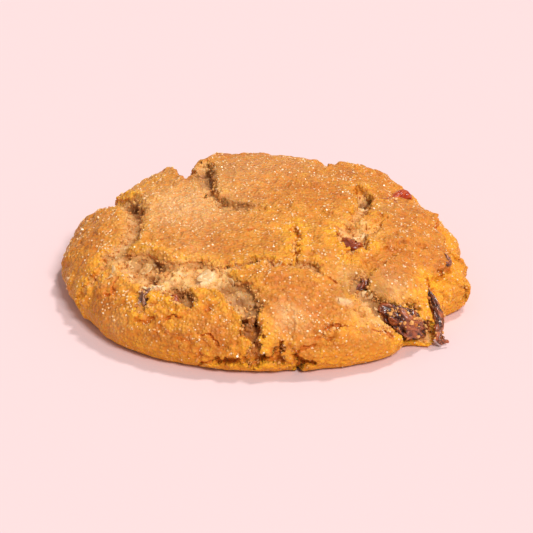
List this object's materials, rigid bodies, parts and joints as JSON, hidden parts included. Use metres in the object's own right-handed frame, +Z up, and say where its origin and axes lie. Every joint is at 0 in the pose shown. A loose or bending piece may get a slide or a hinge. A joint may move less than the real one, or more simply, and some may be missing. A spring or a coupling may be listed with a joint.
{
  "type": "oatmeal raisin cookie",
  "caption": "Round thick baked oat cookie with a cracked sugared crust, pale crumb in the splits, raisins set in pockets and a flat underside, eaten by hand.",
  "frame": {"origin": "middle of the underside, on the surface that the cookie lies on, under the middle of its outline", "axes": "+Z up out of the crust, +X to the right and +Y away from the side with the deepest split"},
  "size_m": [0.0893, 0.0921, 0.0171],
  "materials": {
    "dough": "dry baked crust, golden brown, with sparse sugar grains; paler porous crumb inside the splits",
    "raisin": "dark red-brown, sticky and wrinkled, half gloss"
  },
  "bodies": {
    "root": {"dough": "dough", "raisin_front_right": "raisin", "raisin_rim_strip": "raisin", "raisin_right_valley": "raisin", "raisin_back_right": "raisin", "raisin_right_rim_curl": "raisin", "raisin_front_left": "raisin", "raisin_crumb_pocket": "raisin", "raisin_centre_right": "raisin"}
  },
  "joints": []
}
